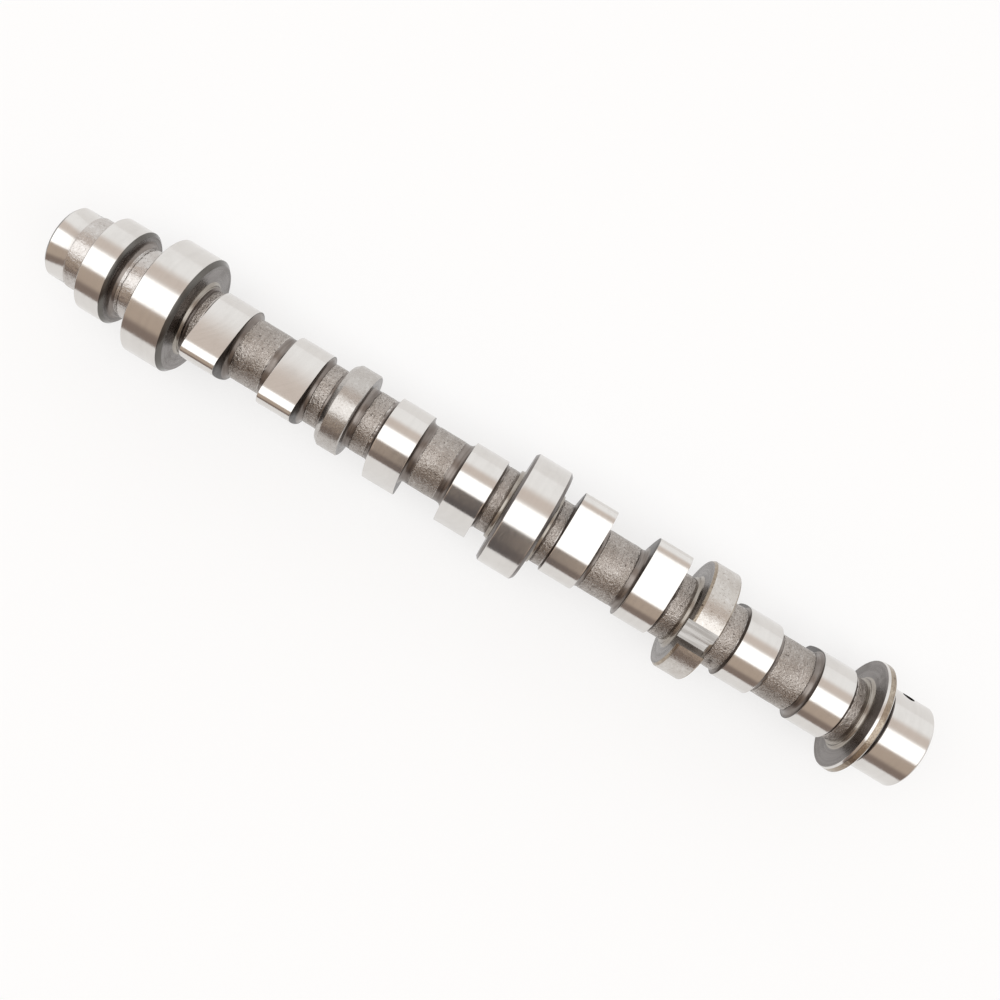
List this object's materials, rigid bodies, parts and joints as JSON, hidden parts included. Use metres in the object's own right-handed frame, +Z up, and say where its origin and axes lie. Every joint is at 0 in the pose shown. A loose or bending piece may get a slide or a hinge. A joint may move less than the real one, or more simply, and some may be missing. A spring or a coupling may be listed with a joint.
{
  "type": "camshaft",
  "caption": "One-piece cast-iron overhead camshaft with paired cam lobes, stepped bearing journals, a trigger ring and a thrust flange.",
  "frame": {"origin": "on the shaft's axis, in the middle of the centre journal", "axes": "+X along the shaft's axis from the nose (drive end) to the rear journal; +Z up, through the open side of the trigger ring's notch; +Y to the side that the rear journal's oil hole opens on"},
  "size_m": [0.4265, 0.0553, 0.0552],
  "materials": {
    "cast_iron": "cast grey iron with ground journals and cam lobes"
  },
  "bodies": {
    "root": {"camshaft": "cast_iron"}
  },
  "joints": []
}
